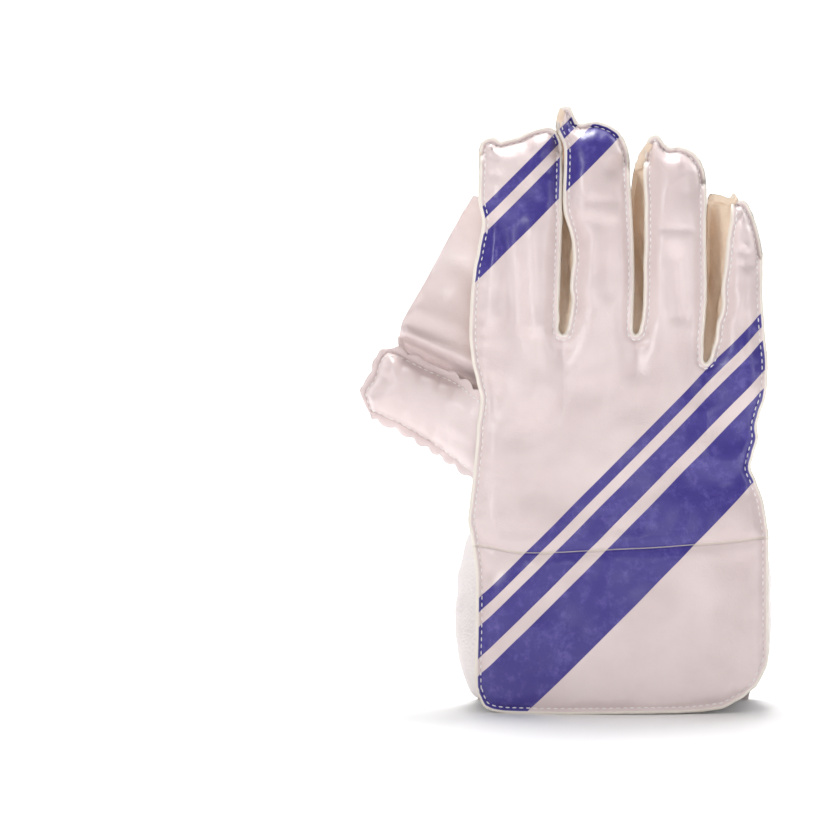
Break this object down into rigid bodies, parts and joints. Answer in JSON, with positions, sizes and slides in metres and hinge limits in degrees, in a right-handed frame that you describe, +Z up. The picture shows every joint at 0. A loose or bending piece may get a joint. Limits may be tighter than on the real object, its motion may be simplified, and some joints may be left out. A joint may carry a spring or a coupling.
{
  "type": "wicketkeeping glove",
  "caption": "Right-hand wicketkeeping glove standing on its cuff, with a padded back, ribbed palm, gusseted fingers, a thumb and a web.",
  "frame": {"origin": "on the floor under the middle of the whole glove", "axes": "+Z up along the fingers, +Y towards the palm side, -X towards the thumb"},
  "size_m": [0.2028, 0.0848, 0.2994],
  "materials": {
    "white_vinyl": "semi-gloss smooth vinyl on foam",
    "ribbed_rubber": "matte ribbed rubber",
    "beige_leather": "matte",
    "white_leather": "satin grained"
  },
  "bodies": {
    "root": {"back_panel": "white_vinyl", "palm_facing": "ribbed_rubber", "thumb_back": "white_vinyl", "thumb_facing": "ribbed_rubber", "finger_gusset_1": "beige_leather", "finger_gusset_2": "beige_leather", "finger_gusset_3": "beige_leather", "index_side_wall": "beige_leather", "little_side_wall": "beige_leather", "cuff_side_thumb": "white_leather", "cuff_side_little": "white_leather", "web": "white_leather", "cuff_band": "white_leather", "cuff_pad": "white_leather"}
  },
  "joints": []
}
